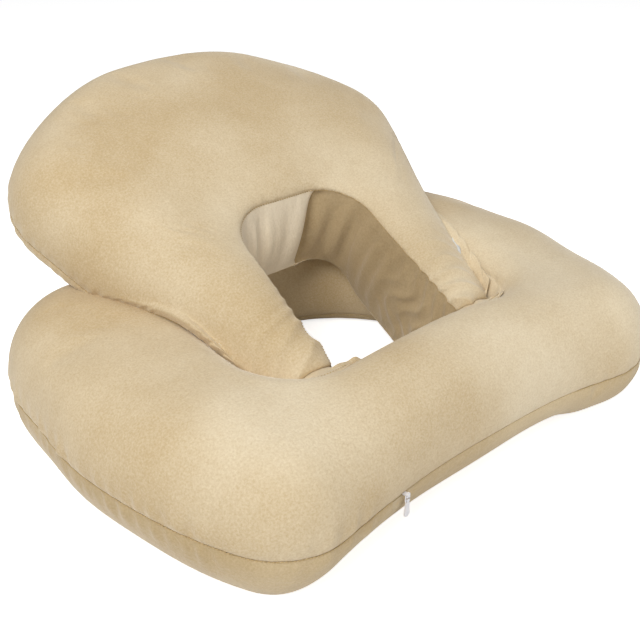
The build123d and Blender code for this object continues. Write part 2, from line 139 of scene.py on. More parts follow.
def meeting_point(centre_a, radius_a, centre_b, radius_b):
    """Where two circles cross, on the +X side."""
    gap = centre_b - centre_a
    far = np.hypot(*gap)
    along = (radius_a**2 - radius_b**2 + far**2) / (2 * far)
    off = np.sqrt(radius_a**2 - along**2)
    middle = centre_a + gap * along / far
    across = np.array((-gap[1], gap[0])) / far
    found = [middle + across * off, middle - across * off]
    return max(found, key=lambda p: p[0])


def arc(centre, radius, start, end):
    """Points from start to end, given as two points that lie towards the arc's ends."""
    a, b = (np.arctan2(p[1] - centre[1], p[0] - centre[0]) for p in (start, end))
    turn = (b - a + np.pi) % (2 * np.pi) - np.pi
    count = max(3, int(abs(turn) * radius / OUTLINE_STEP))
    angles = a + turn * np.linspace(0, 1, count, endpoint=False)
    return np.column_stack((centre[0] + radius * np.cos(angles), centre[1] + radius * np.sin(angles)))


def line(start, end):
    """Evenly spaced points from start to end, without the end itself."""
    count = max(2, int(np.hypot(*(np.array(end) - start)) / OUTLINE_STEP))
    share = np.linspace(0, 1, count, endpoint=False)[:, None]
    return np.array(start) * (1 - share) + np.array(end) * share


def towards(centre, point, radius):
    """The point at that radius from centre, on the way to point."""
    ray = np.array(point) - centre
    return np.array(centre) + ray / np.hypot(*ray) * radius


def mirrored(points):
    """The same outline on the -X side, in the order that carries on from the first."""
    return points[::-1] * (-1, 1)


lobe = meeting_point(SIDE_CENTRE, SIDE_RADIUS - LOBE_CORNER, WAIST_CENTRE, WAIST_RADIUS + LOBE_CORNER)
corner_drop = BACK_Y - BACK_CORNER - SIDE_CENTRE[1]
corner = np.array((
    SIDE_CENTRE[0] + np.sqrt((SIDE_RADIUS - BACK_CORNER) ** 2 - corner_drop**2),
    BACK_Y - BACK_CORNER,
))
waist_end = towards(WAIST_CENTRE, lobe, WAIST_RADIUS)
side_start = towards(SIDE_CENTRE, lobe, SIDE_RADIUS)
side_end = towards(SIDE_CENTRE, corner, SIDE_RADIUS)
back_end = np.array((corner[0], BACK_Y))
base_half = np.vstack((
    arc(WAIST_CENTRE, WAIST_RADIUS, WAIST_CENTRE + (0, 1), waist_end),
    arc(lobe, LOBE_CORNER, waist_end, side_start),
    arc(SIDE_CENTRE, SIDE_RADIUS, side_start, side_end),
    arc(corner, BACK_CORNER, side_end, back_end),
    line(back_end, (0, BACK_Y)),
))
base_outline = np.vstack((base_half, mirrored(base_half)))
hole_corner = meeting_point(
    HOLE_CENTRE, HOLE_RADIUS - HOLE_CORNER, WAIST_CENTRE, HOLE_FRONT_RADIUS + HOLE_CORNER
)
hole_front_end = towards(WAIST_CENTRE, hole_corner, HOLE_FRONT_RADIUS)
hole_back_start = towards(HOLE_CENTRE, hole_corner, HOLE_RADIUS)
hole_half = np.vstack((
    arc(WAIST_CENTRE, HOLE_FRONT_RADIUS, WAIST_CENTRE + (0, 1), hole_front_end),
    arc(hole_corner, HOLE_CORNER, hole_front_end, hole_back_start),
    arc(HOLE_CENTRE, HOLE_RADIUS, hole_back_start, HOLE_CENTRE + (0, 1)),
))
hole_outline = np.vstack((hole_half, mirrored(hole_half))) * (HOLE_SQUEEZE, 1)


def depth_inside(outline, points):
    """Distance of plan points from a closed outline, positive inside it."""
    ahead = np.roll(outline, -1, 0)
    run = ahead - outline
    length = np.maximum(np.hypot(run[:, 0], run[:, 1]), 1e-9)
    run = run / length[:, None]
    keep = length > 1e-6
    start, run, length = outline[keep], run[keep], length[keep]
    out = np.empty(len(points))
    for first in range(0, len(points), 4000):
        p = points[first:first + 4000]
        rel = p[:, None, :] - start[None]
        along = np.clip((rel * run).sum(2), 0, length)
        off = rel - along[..., None] * run
        gap = np.hypot(off[..., 0], off[..., 1])
        near = gap.argmin(1)
        row = np.arange(len(p))
        side = run[near, 0] * rel[row, near, 1] - run[near, 1] * rel[row, near, 0]
        out[first:first + 4000] = gap[row, near] * np.sign(side)
    return out


BASE_EDGE = 64.0
HOLE_EDGE = 44.0
UNDER_EDGE = 46.0
UNDER_HOLE_EDGE = 30.0
WALL_WAIST = 56.0
SEAM_LOW = 54.0
SEAM_RISE = 8.0
SEAM_LEVEL_HALF = 150
SEAM_RISE_RUN = 130
UNDERCUT_LEFT = -225
UNDERCUT_LEFT_FADE = 70
UNDERCUT_RIGHT = 150
UNDERCUT_RIGHT_FADE = 45
UNDERCUT_DEPTH = 38
BASE_POWER = 2.15


def base_seam_height(x):
    """The seam runs lowest along the waist and rises a little round the lobes and sides."""
    share = np.clip((np.abs(x) - SEAM_LEVEL_HALF) / SEAM_RISE_RUN, 0, 1)
    return SEAM_LOW + SEAM_RISE * share**2 * (3 - 2 * share)


def rounding(depth, radius):
    """1 on an outline, falling to 0 at radius inside it."""
    return np.clip(1 - depth / radius, 0, 1)


def undercut(points):
    """How far the bottom panel draws in under the waist, where the zip stiffens the seam."""
    x, y = points[:, 0], points[:, 1]
    beside = np.clip((x - UNDERCUT_LEFT) / UNDERCUT_LEFT_FADE, 0, 1)
    beside = beside * np.clip((UNDERCUT_RIGHT - x) / UNDERCUT_RIGHT_FADE, 0, 1)
    return beside * beside * (3 - 2 * beside) * (y < RING_CENTRE[1])


def base_top_height(points):
    """Height of the stuffed top over any plan point of the ring."""
    seam = base_seam_height(points[:, 0])
    outer = rounding(depth_inside(base_outline, points), BASE_EDGE)
    inner = rounding(-depth_inside(hole_outline, points), HOLE_EDGE)
    left = np.clip(1 - outer**BASE_POWER - inner**BASE_POWER, 0, 1)
    return seam + (BASE_TOP - seam) * left ** (1 / BASE_POWER)


RING_CENTRE = np.array((0.0, -95.0))
AROUND = 440
TOP_ROWS = 46
WALL_ROWS = 18
UNDER_ROWS = 34
RIM_TOP = 112.0
RIM_UNDER = 14.0
FLOOR_GAP = 0.3

bearing = np.linspace(0, 2 * np.pi, AROUND, endpoint=False) - np.pi / 2


def reach(outline, bearings):
    """Distance from the ring's middle to an outline along each bearing."""
    rel = outline - RING_CENTRE
    angle = np.arctan2(rel[:, 1], rel[:, 0])
    order = np.argsort(angle)
    turned = (bearings + np.pi) % (2 * np.pi) - np.pi
    return np.interp(turned, angle[order], np.hypot(*rel.T)[order], period=2 * np.pi)


out_reach = reach(base_outline, bearing)
hole_reach = reach(hole_outline, bearing)
heading = np.column_stack((np.cos(bearing), np.sin(bearing)))


def wall_back(height):
    """How far the hole's wall stands back from the hole's outline at a height."""
    if height > WALL_WAIST:
        fall = ((height - WALL_WAIST) / (BASE_TOP - WALL_WAIST)) ** BASE_POWER
        return HOLE_EDGE * (1 - (1 - fall) ** (1 / BASE_POWER))
    fall = ((WALL_WAIST - height) / WALL_WAIST) ** BASE_POWER
    return UNDER_HOLE_EDGE * (1 - (1 - fall) ** (1 / BASE_POWER))


def plan_at(radius):
    """Plan points at a distance from the ring's middle, one for each bearing."""
    return RING_CENTRE + heading * radius[:, None]


rim_back = wall_back(RIM_TOP)
under_back = wall_back(RIM_UNDER)
rows = []
for k in range(TOP_ROWS):
    share = (1 - np.cos(np.pi * k / TOP_ROWS)) / 2
    radius = out_reach - (out_reach - hole_reach - rim_back) * share
    plan = plan_at(radius)
    rows.append(np.column_stack((plan, base_top_height(plan))))
for k in range(WALL_ROWS):
    height = RIM_TOP + (RIM_UNDER - RIM_TOP) * k / WALL_ROWS
    plan = plan_at(hole_reach + wall_back(height))
    rows.append(np.column_stack((plan, np.full(AROUND, height))))
for k in range(UNDER_ROWS):
    share = (1 + np.cos(np.pi * k / UNDER_ROWS)) / 2
    radius = out_reach - (out_reach - hole_reach - under_back) * share
    plan = plan_at(radius)
    seam = base_seam_height(plan[:, 0])
    drawn = undercut(plan)
    outer = rounding(depth_inside(base_outline, plan), UNDER_EDGE + UNDERCUT_DEPTH * drawn)
    inner = rounding(-depth_inside(hole_outline, plan), UNDER_HOLE_EDGE)
    power = BASE_POWER + 0.1 * drawn
    left = np.clip(1 - outer**power - inner**power, 0, 1)
    rows.append(np.column_stack((plan, np.maximum(seam - seam * left ** (1 / power), FLOOR_GAP))))
base_grid = np.array(rows) * MM
SECTION = len(base_grid)


def grid_mesh(name, grid, rows_close=True, round_closes=True):
    """A mesh of quads from a grid of rows, each row running round the cushion."""
    count, around = grid.shape[:2]
    index = np.arange(count * around).reshape(count, around)
    if rows_close:
        index = np.vstack((index, index[:1]))
    if round_closes:
        index = np.hstack((index, index[:, :1]))
    faces = np.dstack((index[:-1, :-1], index[:-1, 1:], index[1:, 1:], index[1:, :-1]))
    mesh = bpy.data.meshes.new(name)
    mesh.from_pydata(grid.reshape(-1, 3).tolist(), [], faces.reshape(-1, 4).tolist())
    mesh.update()
    return mesh


def stuffed(name, blank, held, pressure, limit, frames=20):
    """Blows the closed shape up as cloth. held is each point's hold, 1 where a seam is sewn."""
    body = bpy.data.objects.new(name + "_blown", blank)
    bpy.context.scene.collection.objects.link(body)
    bpy.context.view_layer.objects.active = body
    start = np.empty(len(blank.vertices) * 3)
    blank.vertices.foreach_get("co", start)
    start = start.reshape(-1, 3)
    group = body.vertex_groups.new(name="sewn")
    for level in np.unique(np.round(held, 2)):
        members = np.nonzero(np.round(held, 2) == level)[0].tolist()
        group.add(members, float(level), "REPLACE")
    cloth = body.modifiers.new("cloth", "CLOTH")
    cloth.settings.quality = 5
    cloth.settings.mass = 0.3
    cloth.settings.tension_stiffness = 12
    cloth.settings.compression_stiffness = 12
    cloth.settings.shear_stiffness = 5
    cloth.settings.bending_stiffness = 0.6
    cloth.settings.vertex_group_mass = "sewn"
    cloth.settings.pin_stiffness = 1.0
    cloth.settings.use_pressure = True
    cloth.settings.uniform_pressure_force = pressure
    cloth.settings.effector_weights.gravity = 0
    cloth.collision_settings.use_collision = False
    scene = bpy.context.scene
    cloth.point_cache.frame_start = 1
    cloth.point_cache.frame_end = frames
    for at in range(1, frames + 1):
        scene.frame_set(at)
    seen = body.evaluated_get(bpy.context.evaluated_depsgraph_get()).to_mesh()
    end = np.empty(len(seen.vertices) * 3)
    seen.vertices.foreach_get("co", end)
    end = end.reshape(-1, 3)
    scene.frame_set(1)
    bpy.data.objects.remove(body)
    move = end - start
    size = np.linalg.norm(move, axis=1, keepdims=True)
    return start + move * np.tanh(size / limit) * limit / np.maximum(size, 1e-9)


seam_rows = (0, TOP_ROWS, TOP_ROWS + WALL_ROWS)
row_number = np.repeat(np.arange(SECTION), AROUND)
to_seam = np.min([np.minimum(abs(row_number - s), SECTION - abs(row_number - s)) for s in seam_rows], 0)
hold = np.where(to_seam == 0, 1.0, 0.0)
floor_rows = base_grid[..., 2].reshape(-1) < 0.004
hold = np.where(floor_rows, 1.0, hold)
base_points = stuffed("base", grid_mesh("base_blank", base_grid), hold, 1.2, 0.006)
base_grid = base_points.reshape(SECTION, AROUND, 3)


def wander(length, count, seed, smooth):
    """Uneven waves along a seam: periodic noise between -1 and 1."""
    draw = np.random.default_rng(seed).normal(size=count)
    rate = np.fft.rfftfreq(count, length / count)
    spectrum = np.fft.rfft(draw) * np.exp(-((rate - smooth) / (0.45 * smooth)) ** 2)
    wave = np.fft.irfft(spectrum, count)
    return wave / np.abs(wave).max()


def grid_normals(grid, round_closes=True):
    """Outward normals of a grid whose rows close on themselves."""
    if round_closes:
        around = np.roll(grid, -1, 1) - np.roll(grid, 1, 1)
    else:
        around = np.gradient(grid, axis=1)
    across = np.roll(grid, -1, 0) - np.roll(grid, 1, 0)
    normal = np.cross(around, across)
    return normal / np.maximum(np.linalg.norm(normal, axis=2, keepdims=True), 1e-12)


PUCKER_ROWS = 26
PUCKER_REACH = 0.006
SINK_WIDTH = 0.0045
CALM_LEAST = 0.12
CALM_COLUMNS = 45


def gathered(grid, seam_row, depth, pucker, waves, seed, spread=0.016, round_closes=True, zip_half=0):
    """Sinks a sewn seam into the stuffing and gathers the cloth beside it into short puckers."""
    normal = grid_normals(grid, round_closes)
    count, around = grid.shape[:2]
    seam = grid[seam_row]
    length = np.linalg.norm(np.diff(seam, axis=0), axis=1).sum()
    out = grid.copy()
    away = np.abs(seam[:, 0]) - zip_half
    zip_side = -1 if round_closes else 1
    away = np.where(seam[:, 1] * zip_side > 0.1, away, 1)
    calm = np.clip(away / 0.02, CALM_LEAST, 1) if zip_half else np.ones(around)
    if not round_closes:
        from_foot = np.minimum(np.arange(around), np.arange(around)[::-1])
        calm = calm * np.clip(from_foot / CALM_COLUMNS, CALM_LEAST, 1)
    for side, draw in ((1, seed), (-1, seed + 1)):
        wave = wander(length, around, draw, waves)
        reach_far = np.zeros(around)
        for k in range(PUCKER_ROWS):
            row = (seam_row + side * k) % count
            if k:
                before = (seam_row + side * (k - 1)) % count
                reach_far = reach_far + np.linalg.norm(grid[row] - grid[before], axis=1)
            sink = depth * np.exp(-((reach_far / SINK_WIDTH) ** 1.2))
            rise = (reach_far / PUCKER_REACH) * np.exp(1 - reach_far / PUCKER_REACH)
            lift = pucker * wave * rise * np.exp(-reach_far / spread)
            if k == 0 and side == -1:
                continue
            out[row] = out[row] + normal[row] * (lift * calm - sink)[:, None]
    return out


base_grid = gathered(
    base_grid, 0, depth=0.0018, pucker=0.0068, waves=58, seed=11, spread=0.02, zip_half=0.125
)
base_grid = gathered(base_grid, TOP_ROWS, depth=0.0022, pucker=0.0013, waves=45, seed=23)
base_grid = gathered(base_grid, TOP_ROWS + WALL_ROWS, depth=0.0015, pucker=0.001, waves=45, seed=37)


def crumple(points, seed, size, height):
    """Slow unevenness of loose filling: a few sine waves that cross at odd angles."""
    pick = np.random.default_rng(seed)
    total = np.zeros(len(points))
    for _ in range(9):
        way = pick.normal(size=3)
        way /= np.linalg.norm(way)
        total += np.sin(points @ way * 2 * np.pi / (size * pick.uniform(0.7, 1.5)) + pick.uniform(0, 6.3))
    return total / 9 * height


flat = base_grid.reshape(-1, 3)
lump = crumple(flat, 3, 0.14, 0.006) * np.clip(flat[:, 2] / 0.03, 0, 1)
base_grid = base_grid + grid_normals(base_grid) * lump.reshape(SECTION, AROUND, 1)
base_grid[..., 2] = np.maximum(base_grid[..., 2], FLOOR_GAP * MM)


TURN_IN = 0.004
EDGE_SHARE = 0.18


def panel(name, grid, rows, columns, body, node, material):
    """One sewn panel of a stuffed grid, rows and columns each (first, last), edges turned in."""
    count, around = grid.shape[:2]
    pick = [k % count for k in range(rows[0], rows[1] + 1)]
    normal = grid_normals(grid, columns is None)[pick]
    part = grid[pick]
    if columns:
        part = part[:, columns[0]:columns[1] + 1]
        normal = normal[:, columns[0]:columns[1] + 1]
    inner = part - normal * TURN_IN
    near = (
        part[:1] * (1 - EDGE_SHARE) + part[1:2] * EDGE_SHARE,
        part[-1:] * (1 - EDGE_SHARE) + part[-2:-1] * EDGE_SHARE,
    )
    part = np.concatenate((inner[:1], part[:1], near[0], part[1:-1], near[1], part[-1:], inner[-1:]))
    if columns:
        near = (
            inner[:1] * (1 - EDGE_SHARE) + inner[1:2] * EDGE_SHARE,
            inner[-1:] * (1 - EDGE_SHARE) + inner[-2:-1] * EDGE_SHARE,
        )
        side = np.concatenate((inner[:1], inner[:1], near[0], inner[1:-1], near[1], inner[-1:], inner[-1:]))
        part = np.concatenate((side[:, :1], part, side[:, -1:]), 1)
    piece = bpy.data.objects.new(name, grid_mesh(name, part, False, columns is None))
    bpy.context.scene.collection.objects.link(piece)
    finish_panel(piece, body, node, material)
    return piece


def finish_panel(piece, body, node, material):
    """Smooth shading, a finer mesh for the finished render, and what the piece is."""
    for face in piece.data.polygons:
        face.use_smooth = True
    smooth = piece.modifiers.new("fine", "SUBSURF")
    smooth.levels = smooth.render_levels = 1
    piece.data.materials.append(material)
    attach(piece, body)
    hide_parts(node)


def velour(name, tint, dark):
    """Short-pile velour: dense soft nap that catches light at its edges, brushed into patches."""
    stuff = bpy.data.materials.new(name)
    stuff.use_nodes = True
    nodes, links = stuff.node_tree.nodes, stuff.node_tree.links
    shader = nodes["Principled BSDF"]
    shader.inputs["Sheen Weight"].default_value = 0.5
    shader.inputs["Sheen Roughness"].default_value = 0.45
    shader.inputs["Sheen Tint"].default_value = (1.0, 0.95, 0.87, 1)
    shader.inputs["Specular IOR Level"].default_value = 0.15
    where = nodes.new("ShaderNodeTexCoord")

    def noise(scale, detail, rough=0.55):
        texture = nodes.new("ShaderNodeTexNoise")
        texture.inputs["Scale"].default_value = scale
        texture.inputs["Detail"].default_value = detail
        texture.inputs["Roughness"].default_value = rough
        links.new(where.outputs["Object"], texture.inputs["Vector"])
        return texture.outputs["Fac"]

    def remap(value, low, high, to_low, to_high):
        step = nodes.new("ShaderNodeMapRange")
        step.inputs["From Min"].default_value = low
        step.inputs["From Max"].default_value = high
        step.inputs["To Min"].default_value = to_low
        step.inputs["To Max"].default_value = to_high
        links.new(value, step.inputs["Value"])
        return step.outputs["Result"]

    def total(a, b):
        step = nodes.new("ShaderNodeMath")
        step.operation = "ADD"
        links.new(a, step.inputs[0])
        links.new(b, step.inputs[1])
        return step.outputs["Value"]

    patches = remap(noise(5, 2), 0.36, 0.64, -0.34, 0.34)
    mottle = remap(noise(560, 3, 0.7), 0.3, 0.7, -0.26, 0.26)
    drift = remap(noise(60, 2), 0.3, 0.7, -0.05, 0.05)
    blend_share = total(total(patches, mottle), drift)
    half = nodes.new("ShaderNodeMath")
    half.operation = "ADD"
    half.inputs[1].default_value = 0.5
    links.new(blend_share, half.inputs[0])
    mix = nodes.new("ShaderNodeMix")
    mix.data_type = "RGBA"
    mix.clamp_factor = True
    mix.inputs["A"].default_value = (*dark, 1)
    mix.inputs["B"].default_value = (*tint, 1)
    links.new(half.outputs["Value"], mix.inputs["Factor"])
    links.new(mix.outputs["Result"], shader.inputs["Base Color"])
    links.new(remap(noise(14, 2), 0.3, 0.7, 0.78, 0.95), shader.inputs["Roughness"])
    pile = nodes.new("ShaderNodeBump")
    pile.inputs["Strength"].default_value = 0.35
    pile.inputs["Distance"].default_value = 0.0008
    links.new(noise(700, 3, 0.75), pile.inputs["Height"])
    nap = nodes.new("ShaderNodeBump")
    nap.inputs["Strength"].default_value = 0.25
    nap.inputs["Distance"].default_value = 0.003
    links.new(noise(190, 2, 0.6), nap.inputs["Height"])
    links.new(nap.outputs["Normal"], pile.inputs["Normal"])
    links.new(pile.outputs["Normal"], shader.inputs["Normal"])
    return stuff


VELOUR_LIGHT = (0.82, 0.70, 0.50)
VELOUR_DARK = (0.57, 0.42, 0.225)
beige_velour = velour("beige_velour", VELOUR_LIGHT, VELOUR_DARK)

# the bottom panel is the same velour painted deeper in colour: painted shade for the underside, which faces
# down towards the floor
shaded_under_velour = velour("shaded_under_velour", (0.70, 0.56, 0.35), (0.50, 0.365, 0.19))

RIM = TOP_ROWS
RIM_BELOW = TOP_ROWS + WALL_ROWS
for name, rows, node, cloth in (
    ("base_top_velour", (0, RIM), "base_cover_top_panel", beige_velour),
    ("base_hole_velour", (RIM, RIM_BELOW), "base_cover_hole_wall", beige_velour),
    # the bottom panel takes the painted-shade copy of the velour
    ("base_under_velour", (RIM_BELOW, SECTION), "base_cover_bottom_panel", shaded_under_velour),
):
    panel(name, base_grid, rows, None, "base_cushion", node, cloth)

# =============================================================================================
# Upper cushion. An arch of the same velour: a big domed front panel, a back panel that lies on
# the ring, a wall of two pieces joined a little right of the arch's middle, and an end on each foot.
# =============================================================================================
LEAN = np.radians(26.0)
FOOT_Y = FRONT_Y + 139.4
FOOT_Z = 109.6
CROWN_CENTRE = np.array((0, 178.0))
CROWN_RADIUS = 268.0
SHOULDER = 92.0
FOOT_HALF = 147.0
SIDE_SLOPE = (250.0 - 147.0) / 320.0
ARCH_HALF = 78.0
ARCH_TOP = 181.0
ARCH_CORNER = 52.0
BEYOND = 150.0
FRONT_EDGE = 58.0
BACK_EDGE = 46.0
FRONT_RISE = 13.0
BACK_FACE = -98.0
FOOT_REACH = 11.0
HALF_COLUMNS = 150
FRONT_ROWS = 46
ARCH_ROWS = 24
BACK_ROWS = 40

side_way = np.array((SIDE_SLOPE, 1)) / np.hypot(SIDE_SLOPE, 1)
side_out = np.array((side_way[1], -side_way[0]))
inset_foot = np.array((FOOT_HALF, 0)) - side_out * SHOULDER
rel = inset_foot - CROWN_CENTRE
ahead = rel @ side_way
shoulder = inset_foot + side_way * (-ahead + np.sqrt(ahead**2 - rel @ rel + (CROWN_RADIUS - SHOULDER) ** 2))
shoulder_start = shoulder + side_out * SHOULDER
shoulder_end = towards(CROWN_CENTRE, shoulder, CROWN_RADIUS)
heel = np.array((FOOT_HALF, 0)) - side_way * BEYOND
outer_half = np.vstack((
    line((FOOT_HALF, 0), shoulder_start),
    arc(shoulder, SHOULDER, shoulder_start, shoulder_end),
    arc(CROWN_CENTRE, CROWN_RADIUS, shoulder_end, CROWN_CENTRE + (0, 1)),
    [CROWN_CENTRE + (0, CROWN_RADIUS)],
))
arch_corner = np.array((ARCH_HALF - ARCH_CORNER, ARCH_TOP - ARCH_CORNER))
arch_half = np.vstack((
    line((ARCH_HALF, 0), (ARCH_HALF, arch_corner[1])),
    arc(arch_corner, ARCH_CORNER, arch_corner + (1, 0), arch_corner + (0, 1)),
    line((arch_corner[0], ARCH_TOP), (0, ARCH_TOP)),
    [(0, ARCH_TOP)],
))
outer_closed = np.vstack(([heel], outer_half, mirrored(outer_half[:-1]), [heel * (-1, 1)]))
arch_closed = np.vstack((
    [(ARCH_HALF, -BEYOND)],
    arch_half,
    mirrored(arch_half[:-1]),
    [(-ARCH_HALF, -BEYOND)],
))


def spaced(points, shares):
    """Points at given shares of a line's length."""
    run = np.concatenate(([0], np.hypot(*np.diff(points, axis=0).T).cumsum()))
    return np.column_stack([np.interp(shares * run[-1], run, points[:, i]) for i in (0, 1)])


def smooth_step(x):
    """0 up to 0, 1 from 1 on, and an even curve between."""
    x = np.clip(x, 0, 1)
    return x * x * (3 - 2 * x)


half_share = np.linspace(0, 1, HALF_COLUMNS + 1)
arch_line = spaced(arch_half, half_share)
crown_line = spaced(outer_half, half_share**1.2)
arch_line = np.vstack((arch_line, mirrored(arch_line[:-1])))
crown_line = np.vstack((crown_line, mirrored(crown_line[:-1])))
COLUMNS = 2 * HALF_COLUMNS + 1
apex_share = 1 - np.abs(np.linspace(-1, 1, COLUMNS))


def seam_level(plan):
    """The outer seam lies low, a little lower down the sides than behind the crown."""
    return -53.5 - 9.0 * smooth_step((np.abs(plan[:, 0]) - 90) / 110)


def front_level(plan):
    """The front panel's level: a dome that is highest below the crown, rounded off to the seam."""
    seam = seam_level(plan)
    edge = rounding(depth_inside(outer_closed, plan), FRONT_EDGE)
    lip = rounding(-depth_inside(arch_closed, plan), 46.0)
    dome = FRONT_RISE * np.sqrt(1 - lip**2)
    dome = dome + 7 * smooth_step((plan[:, 1] - 150) / 150) * smooth_step(1 - np.abs(plan[:, 0]) / 230)
    return seam + (dome - seam) * (1 - edge**1.95) ** (1 / 1.95)


def back_level(plan):
    """The back panel's level over the leaning plane: flat, and rounded off to the seam."""
    seam = seam_level(plan)
    edge = rounding(depth_inside(outer_closed, plan), BACK_EDGE)
    return seam + (BACK_FACE - seam) * np.sqrt(1 - edge**2)


def leaning(plan, level):
    """From the leaning plane of the arch to the pillow's frame, in metres."""
    s, c = np.sin(LEAN), np.cos(LEAN)
    y = FOOT_Y + plan[:, 1] * c - level * s
    z = FOOT_Z + plan[:, 1] * s + level * c
    return np.column_stack((plan[:, 0], y, z)) * MM


JOIN = HALF_COLUMNS - 25
JOIN_SLANT = 15
upright = smooth_step((apex_share - 0.35) / 0.55)
slide = JOIN_SLANT * np.exp(-(((np.arange(COLUMNS) - JOIN) / 40) ** 2))


def wall_line(share):
    """The arch's outline, slid a little sideways near the join so that its seam slants."""
    at = np.arange(COLUMNS) + slide * share
    return np.column_stack([np.interp(at, np.arange(COLUMNS), arch_line[:, i]) for i in (0, 1)])


tuck = np.column_stack((np.zeros(COLUMNS), -34.6 * upright))
wall_foot = -104 * (1 - upright) - 72 * upright
rows = []
for k in range(FRONT_ROWS):
    share = (1 - np.cos(np.pi * k / FRONT_ROWS)) / 2
    plan = crown_line + (arch_line - crown_line) * share
    rows.append(leaning(plan, front_level(plan)))
for k in range(ARCH_ROWS):
    share = k / ARCH_ROWS
    rows.append(leaning(wall_line(share) + tuck * share, wall_foot * share))
for k in range(BACK_ROWS):
    share = (1 - np.cos(np.pi * k / BACK_ROWS)) / 2
    start = wall_line(1) + tuck
    plan = start + (crown_line - start) * share
    settle = smooth_step(share / 0.25)
    rows.append(leaning(plan, wall_foot * (1 - settle) + back_level(plan) * settle))
upper_grid = np.array(rows)
UPPER_SECTION = len(upper_grid)
ARCH_SEAM = FRONT_ROWS
BACK_SEAM = FRONT_ROWS + ARCH_ROWS
middle = upper_grid.mean(0)
along_foot = np.minimum(np.arange(COLUMNS), np.arange(COLUMNS)[::-1]) * 2.0
narrowing = 0.90 + 0.10 * np.sqrt(1 - np.clip(1 - along_foot / 12, 0, 1) ** 2)
upper_grid = middle + (upper_grid - middle) * narrowing[None, :, None]
reach_on = FOOT_REACH * smooth_step(1 - along_foot / 60)
upper_grid = upper_grid + np.array((0, -np.cos(LEAN), -np.sin(LEAN))) * reach_on[None, :, None] * MM

number = np.repeat(np.arange(UPPER_SECTION), COLUMNS)
column = np.tile(np.arange(COLUMNS), UPPER_SECTION)
hold = np.where((number == 0) | (number == ARCH_SEAM) | (number == BACK_SEAM), 1.0, 0.0)
hold[(column < 2) | (column > COLUMNS - 3)] = 1.0
blank = grid_mesh("upper_blank", upper_grid, True, False)
upper_grid = stuffed("upper", blank, hold, 1.2, 0.007).reshape(UPPER_SECTION, COLUMNS, 3)
upper_grid = gathered(
    upper_grid, 0, depth=0.0016, pucker=0.0040, waves=58, seed=51, round_closes=False, zip_half=0.096
)
upper_grid = gathered(
    upper_grid, ARCH_SEAM, depth=0.0003, pucker=0.0008, waves=60, seed=63, spread=0.01, round_closes=False
)

# loose filling, folds across the legs by the feet, and creases down the arch's wall
FOLD_HEIGHT = 0.0022
FOLD_PITCH = 0.019
FOLD_REACH = 0.11
CREASE_HEIGHT = 0.0030
JOIN_SINK = 0.011
WALL_PUFF = 0.006
normal = grid_normals(upper_grid, False)
flat = upper_grid.reshape(-1, 3)
swell = crumple(flat, 9, 0.16, 0.005).reshape(UPPER_SECTION, COLUMNS)
v_line = (flat @ (0, np.cos(LEAN), np.sin(LEAN))).reshape(UPPER_SECTION, COLUMNS)
v_line = v_line - (FOOT_Y * np.cos(LEAN) + FOOT_Z * np.sin(LEAN)) * MM
fold_fade = smooth_step(1 - v_line / FOLD_REACH)
slant = np.abs(upper_grid[..., 0])
fold_phase = (v_line + 0.35 * (slant - 0.11)) / FOLD_PITCH
fold_phase = fold_phase + crumple(flat, 21, 0.07, 1.4).reshape(swell.shape)
folds = (1 - 2 * np.abs(np.sin(np.pi * fold_phase)) ** 0.7) * FOLD_HEIGHT * fold_fade
folds[BACK_SEAM:] = 0
wall_depth = np.zeros((UPPER_SECTION, COLUMNS))
wall_depth[ARCH_SEAM:BACK_SEAM + 1] = np.sin(np.pi * np.linspace(0, 1, ARCH_ROWS + 1))[:, None]
creases = wander(0.47, COLUMNS, 77, 38)[None] * wall_depth * CREASE_HEIGHT
join_gap = (np.arange(COLUMNS) - JOIN) * 1.6
join_width = np.where(join_gap > 0, 4, 17)
join_sink = JOIN_SINK * np.exp(-((np.abs(join_gap) / join_width) ** 1.4))[None] * wall_depth**0.5
puff = WALL_PUFF * wall_depth
upper_grid = upper_grid + normal * (swell + folds + creases + puff - join_sink)[..., None]

# where the arch lies on the ring it is squashed flat against the ring's top
REST_GAP = 0.0012
front_share = np.linspace(0, 1, FRONT_ROWS + 1)
front_gap = np.zeros((UPPER_SECTION, COLUMNS))
front_gap[:FRONT_ROWS + 1] = 0.014 * np.sin(np.pi * front_share)[:, None] ** 0.5


def rest_on_ring(grid, gap):
    """Lifts the points of a grid that would lie lower than the ring's top, gap above it."""
    points = grid.reshape(-1, 3).copy()
    plan = points[:, :2] / MM
    on_ring = (depth_inside(hole_outline, plan) < 0) & (depth_inside(base_outline, plan) > 0)
    least = base_top_height(plan[on_ring]) * MM + gap.reshape(-1)[on_ring]
    points[on_ring, 2] = np.maximum(points[on_ring, 2], least)
    return points.reshape(grid.shape)


upper_grid = rest_on_ring(upper_grid, front_gap + REST_GAP)

# the two wall pieces are the same velour in two painted tones: the left one painted paler as painted sheen,
# the right one painted deeper as painted shade
painted_sheen_velour = velour("painted_sheen_velour", (0.88, 0.77, 0.60), (0.76, 0.64, 0.46))
painted_shade_velour = velour("painted_shade_velour", (0.56, 0.43, 0.255), (0.40, 0.285, 0.145))
LAST = COLUMNS - 1
for name, rows, columns, node, cloth in (
    ("upper_front_velour", (0, ARCH_SEAM), (0, LAST), "upper_cover_front_panel", beige_velour),
    # right wall piece in the painted-shade velour, left wall piece in the painted-sheen velour
    ("upper_wall_right_velour", (ARCH_SEAM, BACK_SEAM), (0, JOIN), "upper_arch_wall_right", painted_shade_velour),
    ("upper_wall_left_velour", (ARCH_SEAM, BACK_SEAM), (JOIN, LAST), "upper_arch_wall_left", painted_sheen_velour),
    ("upper_back_velour", (BACK_SEAM, UPPER_SECTION), (0, LAST), "upper_cover_back_panel", beige_velour),
):
    panel(name, upper_grid, rows, columns, "upper_cushion", node, cloth)

